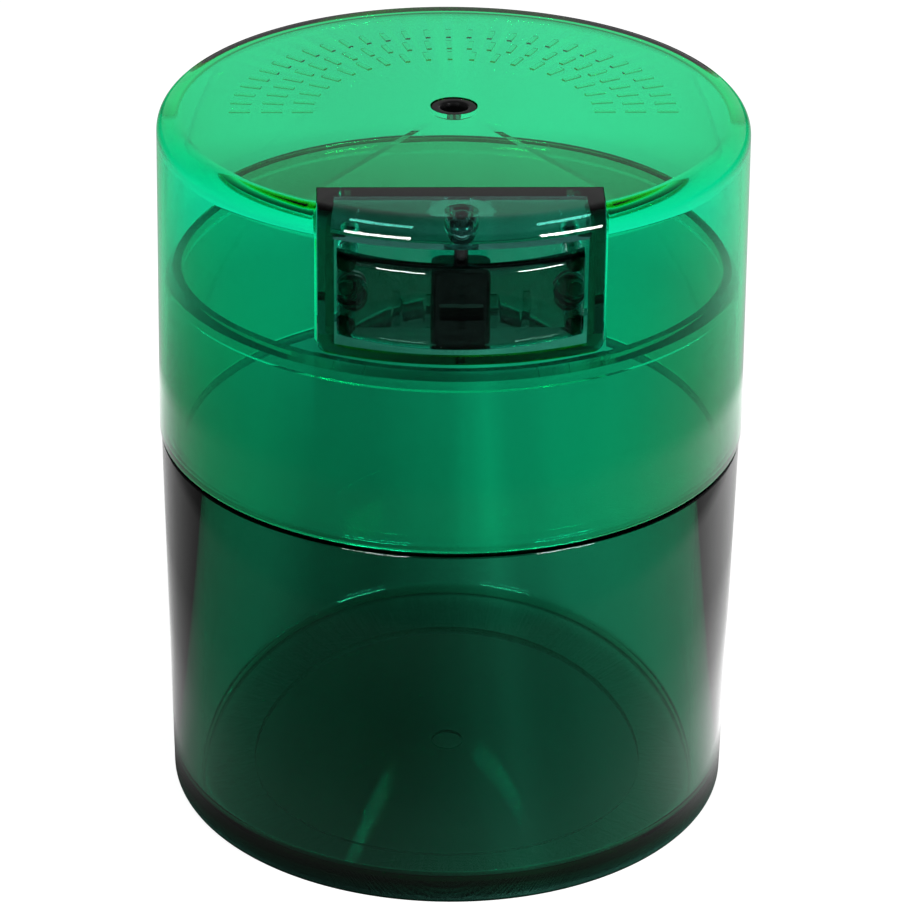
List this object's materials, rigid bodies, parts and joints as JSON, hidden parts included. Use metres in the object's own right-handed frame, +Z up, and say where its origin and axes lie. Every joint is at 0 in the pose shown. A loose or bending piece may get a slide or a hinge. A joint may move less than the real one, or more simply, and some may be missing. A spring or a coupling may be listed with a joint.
{
  "type": "vacuum storage jar",
  "caption": "Round tinted see-through jar with a lift-off vacuum cap; a sprung press pad in the cap tilts a rubber valve to let air in.",
  "frame": {"origin": "centre of the jar's base, on the face it rests on", "axes": "+Z up through the cap, -Y towards the press pad, +X to the right when the pad is seen from the front"},
  "size_m": [0.0708, 0.0708, 0.089],
  "materials": {
    "jar_plastic": "clear polished, smoky green tint",
    "cap_plastic": "clear polished, bright green tint",
    "smoke_plastic": "clear polished, smoke grey tint",
    "black_rubber": "smooth matt rubber",
    "spring_steel": "drawn wire"
  },
  "bodies": {
    "jar": {"jar_body": "jar_plastic"},
    "lid": {"cap_shell": "cap_plastic", "centre_plug": "black_rubber", "button_housing": "smoke_plastic", "return_spring_left": "spring_steel", "return_spring_right": "spring_steel"},
    "pad": {"press_pad": "smoke_plastic"},
    "valve": {"valve_plug": "black_rubber"}
  },
  "joints": [
    {"name": "cap_lift", "type": "slide", "parent": "jar", "child": "lid", "axis": [0, 0, 1], "range_m": [0, 0.04]},
    {"name": "pad_press", "type": "slide", "parent": "lid", "child": "pad", "axis": [0, 1, 0], "range_m": [0, 0.001], "stiffness_N_per_m": 2000, "springref_m": -0.0008, "deforming": ["return_spring_left", "return_spring_right"]},
    {"name": "valve_swing", "type": "hinge", "parent": "lid", "child": "valve", "pos_m": [0, -0.0302, 0.0862], "axis": [1, 0, 0], "range_deg": [0, 6.7]}
  ],
  "couplings": [
    {"joint": "valve_swing", "follows": "pad_press", "rad_per_m": 116.28}
  ]
}
